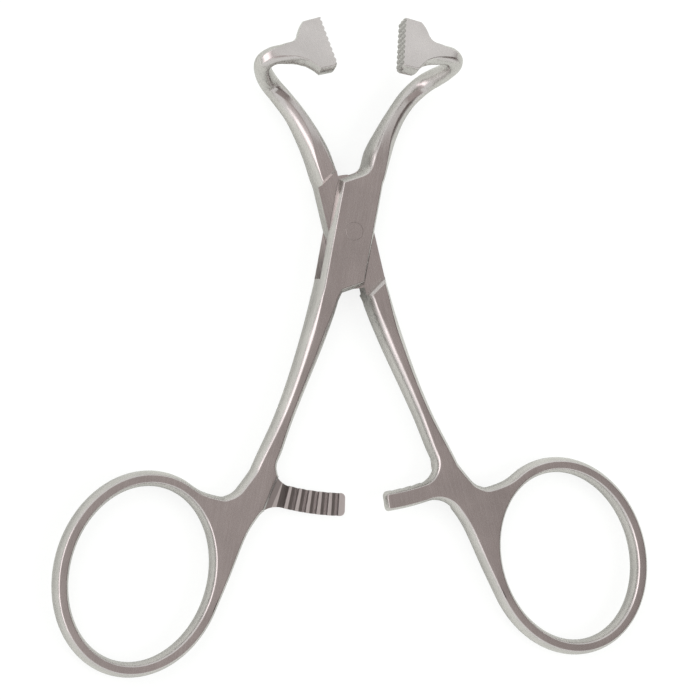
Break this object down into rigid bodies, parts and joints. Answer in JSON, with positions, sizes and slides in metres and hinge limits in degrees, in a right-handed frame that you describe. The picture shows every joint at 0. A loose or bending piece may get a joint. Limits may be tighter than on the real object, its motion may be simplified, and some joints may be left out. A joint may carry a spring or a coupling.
{
  "type": "towel clamp",
  "caption": "Ring-handled towel clamp with box lock, arc ratchet and hooked jaws that end in flat serrated pads, lying half open.",
  "frame": {"origin": "on the pivot axis, at the back face of the box lock", "axes": "+Z along the pivot axis out of the front face, towards which the jaws hook; +Y along the bisector of the two halves, towards the jaws; +X to the right seen from the front, towards the finger ring of the tongue half"},
  "size_m": [0.0904, 0.0922, 0.0134],
  "materials": {
    "steel": "satin",
    "pin_steel": "satin, ground flush"
  },
  "bodies": {
    "box_half": {"box_half": "steel", "pivot_pin": "pin_steel"},
    "tongue_half": {"tongue_half": "steel"}
  },
  "joints": [
    {"name": "box_lock", "type": "hinge", "parent": "box_half", "child": "tongue_half", "pos_m": [0, 0, 0.0025], "axis": [0, 0, 1], "range_deg": [-24, 10]}
  ]
}
